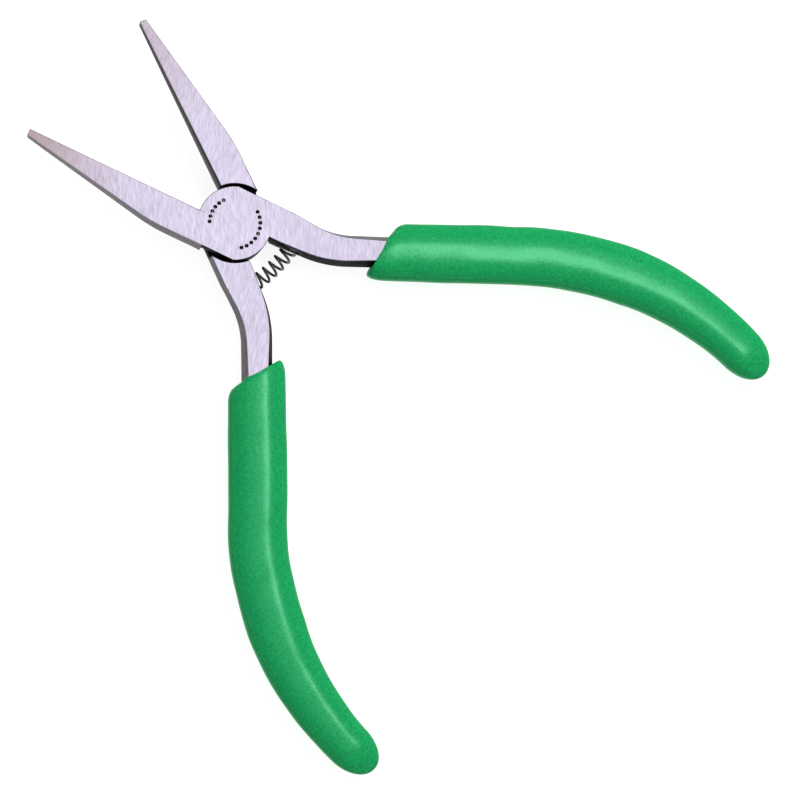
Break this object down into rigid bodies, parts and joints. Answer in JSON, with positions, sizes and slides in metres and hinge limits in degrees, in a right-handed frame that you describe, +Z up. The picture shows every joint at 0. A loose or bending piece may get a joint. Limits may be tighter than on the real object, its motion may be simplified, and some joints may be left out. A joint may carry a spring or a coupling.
{
  "type": "flat nose pliers",
  "caption": "Slim flat nose jewellery pliers with a lap joint, tapered smooth jaws, a coil return spring and green dipped vinyl grips.",
  "frame": {"origin": "pivot axis, in the plane that the tool lies on", "axes": "+Y from the pivot to the jaw tips along the tool's long axis, +Z up through the thickness, +X to the right seen from above, where the top half's handle is"},
  "size_m": [0.0994, 0.113, 0.008],
  "materials": {
    "ground_steel": "satin",
    "spring_wire": "satin",
    "green_vinyl": "satin"
  },
  "bodies": {
    "top_body": {"top_half": "ground_steel", "pivot_rivet": "ground_steel", "return_spring": "spring_wire", "top_half_grip": "green_vinyl"},
    "bottom_body": {"bottom_half": "ground_steel", "bottom_half_grip": "green_vinyl"}
  },
  "joints": [
    {"name": "pivot", "type": "hinge", "parent": "top_body", "child": "bottom_body", "pos_m": [0, 0, 0.004], "axis": [0, 0, 1], "range_deg": [-4, 40], "stiffness_Nm_per_rad": 0.4, "deforming": ["return_spring"]}
  ]
}
